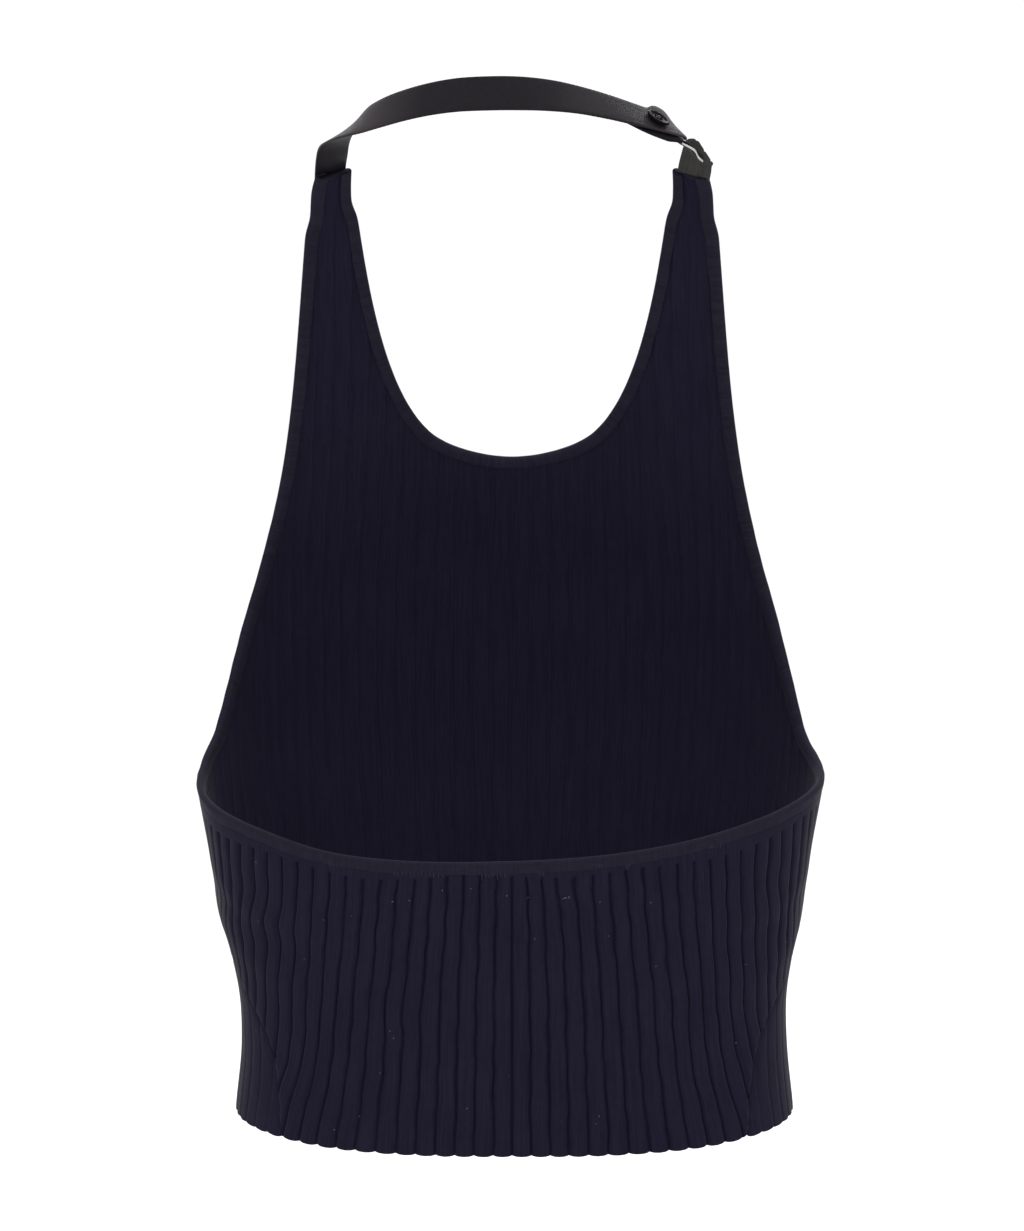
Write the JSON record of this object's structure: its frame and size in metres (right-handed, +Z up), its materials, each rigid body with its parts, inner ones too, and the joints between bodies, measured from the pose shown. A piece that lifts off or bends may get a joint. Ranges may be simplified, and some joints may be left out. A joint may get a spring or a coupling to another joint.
{
  "type": "backless halter top",
  "caption": "Cropped rib knit halter top: open back, scoop neck, bound edges and a neck strap that buttons to a tab on one shoulder.",
  "frame": {"origin": "inner face of the neck strap at the centre back, where the wearer's nape holds it", "axes": "+Z up the wearer, +X to the wearer's left, the wearer faces -Y"},
  "size_m": [0.2798, 0.2241, 0.461],
  "materials": {
    "rib_knit": "matt wide-rib knit in blue-black with a faint fuzz",
    "binding_knit": "matt fine-rib knit in blue-black",
    "strap_satin": "smooth satin in warm charcoal with a soft sheen",
    "button_plastic": "polished black",
    "label_tape": "plain white satin tape"
  },
  "bodies": {
    "root": {"back_panel": "rib_knit", "front_panel": "rib_knit", "edge_binding": "binding_knit", "neckline_binding": "binding_knit", "shoulder_fold": "binding_knit", "button_tab": "binding_knit", "neck_strap": "strap_satin", "button": "button_plastic", "blank_label": "label_tape"}
  },
  "joints": []
}
